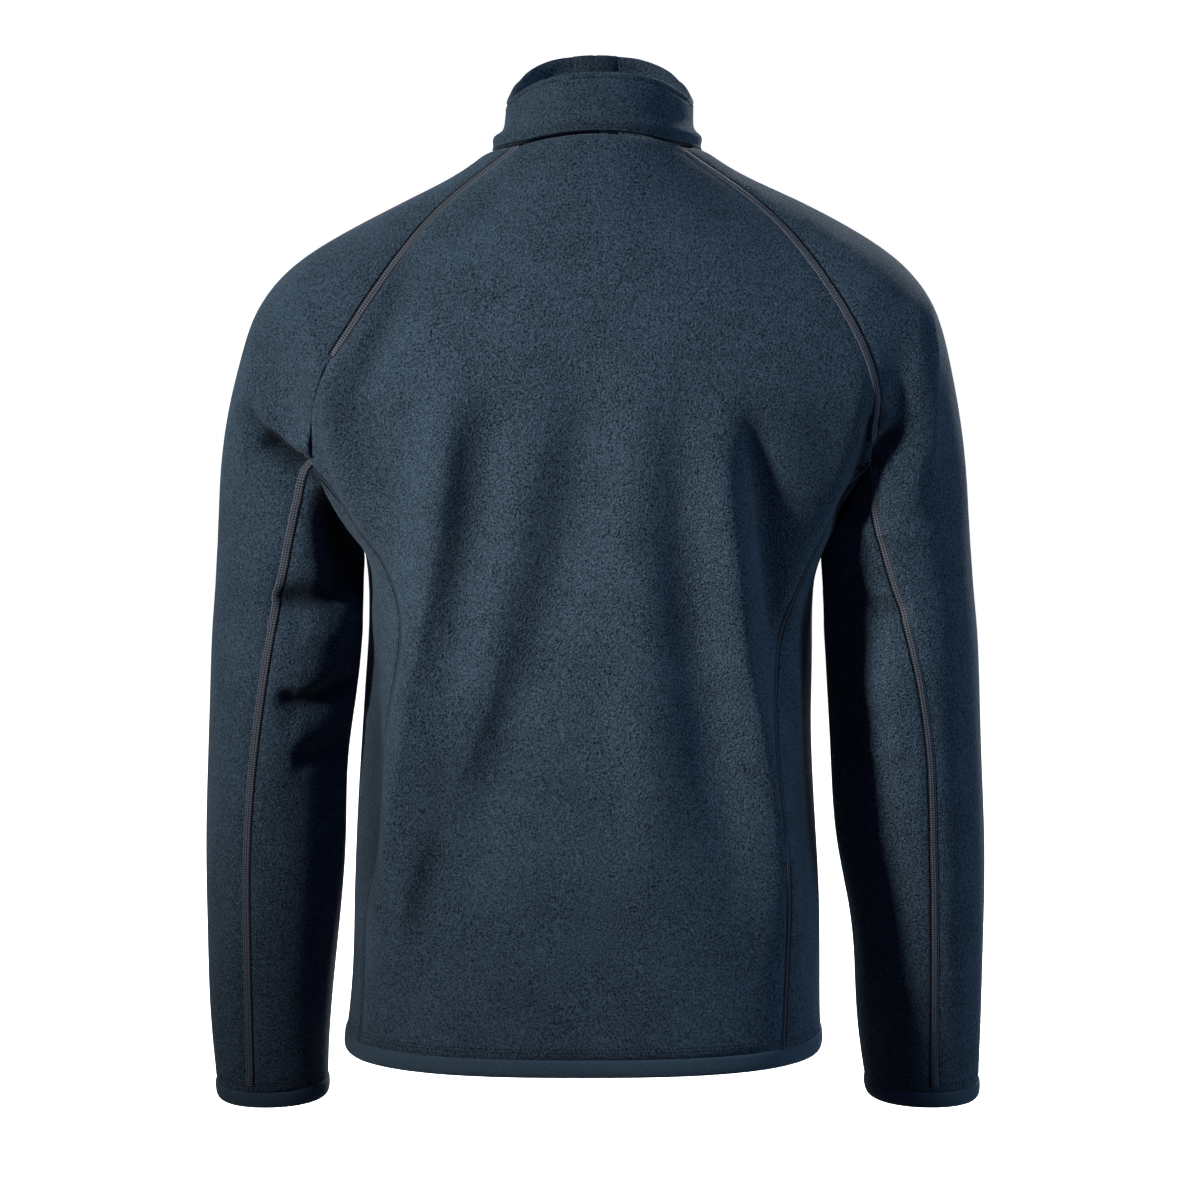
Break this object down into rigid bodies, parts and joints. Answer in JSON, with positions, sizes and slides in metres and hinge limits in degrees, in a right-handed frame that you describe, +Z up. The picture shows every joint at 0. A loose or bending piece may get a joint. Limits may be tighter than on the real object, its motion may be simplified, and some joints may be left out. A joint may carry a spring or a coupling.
{
  "type": "fleece zip jacket",
  "caption": "Hollow worn-shape fleece jacket with raglan sleeves, stand collar, full front zip with a hinged pull tab, and bound hem and cuffs.",
  "frame": {"origin": "middle of the neck opening at shoulder height, where a neck and shoulders carry the jacket", "axes": "+Z up, the front with the zip faces -Y, the wearer's left is +X"},
  "size_m": [0.603, 0.2709, 0.8132],
  "materials": {
    "fleece": "navy microfleece with a short matt nap",
    "binding": "smooth navy stretch binding",
    "zip_tape": "dark navy woven tape",
    "zip_metal": "dark gunmetal"
  },
  "bodies": {
    "jacket": {"back": "fleece", "front_left": "fleece", "front_right": "fleece", "sleeve_left": "fleece", "sleeve_right": "fleece", "collar": "fleece", "zip_guard": "fleece", "hem_band": "binding", "cuff_left": "binding", "cuff_right": "binding", "zip_tape_left": "zip_tape", "zip_tape_right": "zip_tape", "zip_slider": "zip_metal", "zip_box": "zip_metal"},
    "pull_tab": {"zip_pull": "zip_metal"}
  },
  "joints": [
    {"name": "pull_hinge", "type": "hinge", "parent": "jacket", "child": "pull_tab", "pos_m": [0, -0.08131, 0.04497], "axis": [-1, 0, 0], "range_deg": [0, 150]}
  ]
}
